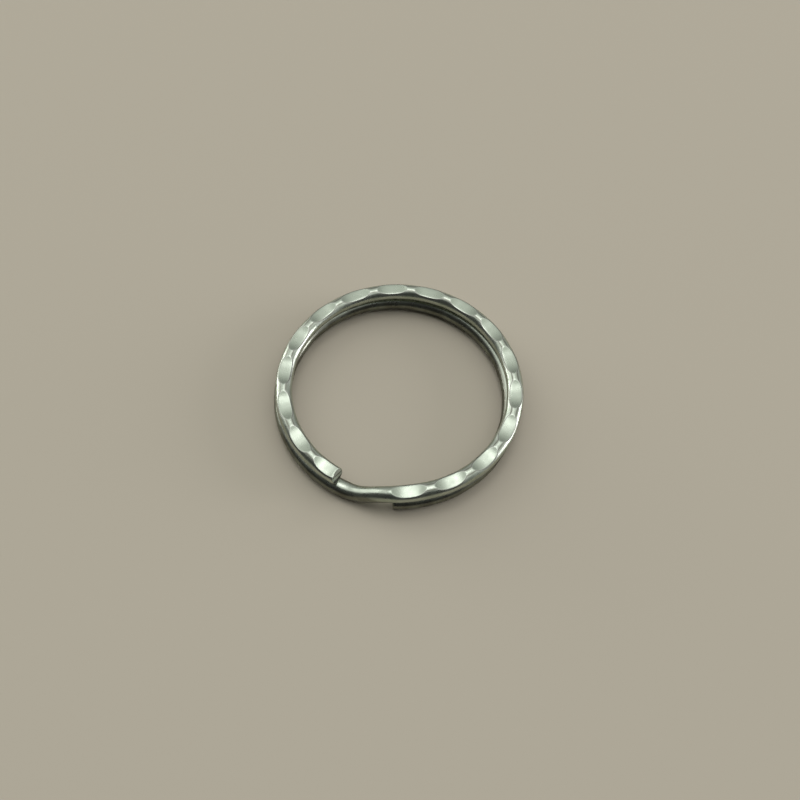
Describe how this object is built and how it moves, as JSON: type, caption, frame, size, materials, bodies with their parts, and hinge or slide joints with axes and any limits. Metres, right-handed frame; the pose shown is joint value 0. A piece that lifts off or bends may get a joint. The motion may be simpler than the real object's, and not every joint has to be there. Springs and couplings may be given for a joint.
{
  "type": "split key ring",
  "caption": "Split key ring of springy steel wire wound twice round, with a row of dimples pressed into both faces and a gate where a key slides on.",
  "frame": {"origin": "on the plane that the ring lies on, midway between the centres of its two turns", "axes": "+Z along the axis of the eye, up from the plane it lies on; -Y towards the gate, where the two wire ends are; +X to the right of the gate"},
  "size_m": [0.0302, 0.0302, 0.0036],
  "materials": {
    "steel_wire": "tumble-polished plated steel wire, bright in the dimples, finely scuffed on the crown"
  },
  "bodies": {
    "lower_free_end": {"lower_free_end": "steel_wire"},
    "lower_right": {"lower_right": "steel_wire"},
    "lower_back_right": {"lower_back_right": "steel_wire"},
    "lower_back_left": {"lower_back_left": "steel_wire"},
    "lower_left": {"lower_left": "steel_wire"},
    "crossover": {"lower_front_left": "steel_wire", "crossover_bend": "steel_wire", "upper_front_right": "steel_wire"},
    "upper_right": {"upper_right": "steel_wire"},
    "upper_back_right": {"upper_back_right": "steel_wire"},
    "upper_back_left": {"upper_back_left": "steel_wire"},
    "upper_left": {"upper_left": "steel_wire"},
    "upper_free_end": {"upper_free_end": "steel_wire"}
  },
  "joints": [
    {"name": "lower_right_twist", "type": "hinge", "parent": "lower_free_end", "child": "lower_right", "pos_m": [0.01303, -0.00493, 0.00088], "axis": [0.342, 0.9397, 0], "range_deg": [0, 0.6026]},
    {"name": "lower_back_right_twist", "type": "hinge", "parent": "lower_right", "child": "lower_back_right", "pos_m": [0.0106, 0.00885, 0.00088], "axis": [-0.6428, 0.766, 0], "range_deg": [0, 1.97]},
    {"name": "lower_end_opening", "type": "hinge", "parent": "lower_back_right", "child": "lower_back_left", "pos_m": [-0.00255, 0.01364, 0.00088], "axis": [-0.9848, -0.1736, 0], "range_deg": [0, 2.73], "stiffness_Nm_per_rad": 0.05},
    {"name": "lower_left_twist", "type": "hinge", "parent": "lower_back_left", "child": "lower_left", "pos_m": [-0.01328, 0.00464, 0.00088], "axis": [-0.342, -0.9397, 0], "range_deg": [0, 2.13]},
    {"name": "lower_front_left_twist", "type": "hinge", "parent": "lower_left", "child": "crossover", "pos_m": [-0.01085, -0.00914, 0.00088], "axis": [0.6428, -0.766, 0], "range_deg": [0, 0.7675]},
    {"name": "upper_right_twist", "type": "hinge", "parent": "crossover", "child": "upper_right", "pos_m": [0.01085, -0.00885, 0.00267], "axis": [0.6428, 0.766, 0], "range_deg": [0, 0.7675]},
    {"name": "upper_back_right_twist", "type": "hinge", "parent": "upper_right", "child": "upper_back_right", "pos_m": [0.01328, 0.00493, 0.00267], "axis": [-0.342, 0.9397, 0], "range_deg": [0, 2.13]},
    {"name": "upper_end_opening", "type": "hinge", "parent": "upper_back_right", "child": "upper_back_left", "pos_m": [0.00255, 0.01393, 0.00267], "axis": [-0.9848, 0.1736, 0], "range_deg": [0, 2.73], "stiffness_Nm_per_rad": 0.05},
    {"name": "upper_left_twist", "type": "hinge", "parent": "upper_back_left", "child": "upper_left", "pos_m": [-0.0106, 0.00914, 0.00267], "axis": [-0.6428, -0.766, 0], "range_deg": [0, 1.97]},
    {"name": "upper_free_end_twist", "type": "hinge", "parent": "upper_left", "child": "upper_free_end", "pos_m": [-0.01303, -0.00464, 0.00267], "axis": [0.342, -0.9397, 0], "range_deg": [0, 0.6026]}
  ],
  "couplings": [
    {"joint": "lower_right_twist", "follows": "lower_end_opening", "ratio": 0.2207},
    {"joint": "lower_back_right_twist", "follows": "lower_end_opening", "ratio": 0.7201},
    {"joint": "lower_left_twist", "follows": "lower_end_opening", "ratio": 0.7805},
    {"joint": "lower_front_left_twist", "follows": "lower_end_opening", "ratio": 0.2811},
    {"joint": "upper_right_twist", "follows": "upper_end_opening", "ratio": 0.2811},
    {"joint": "upper_back_right_twist", "follows": "upper_end_opening", "ratio": 0.7805},
    {"joint": "upper_left_twist", "follows": "upper_end_opening", "ratio": 0.7201},
    {"joint": "upper_free_end_twist", "follows": "upper_end_opening", "ratio": 0.2207}
  ]
}
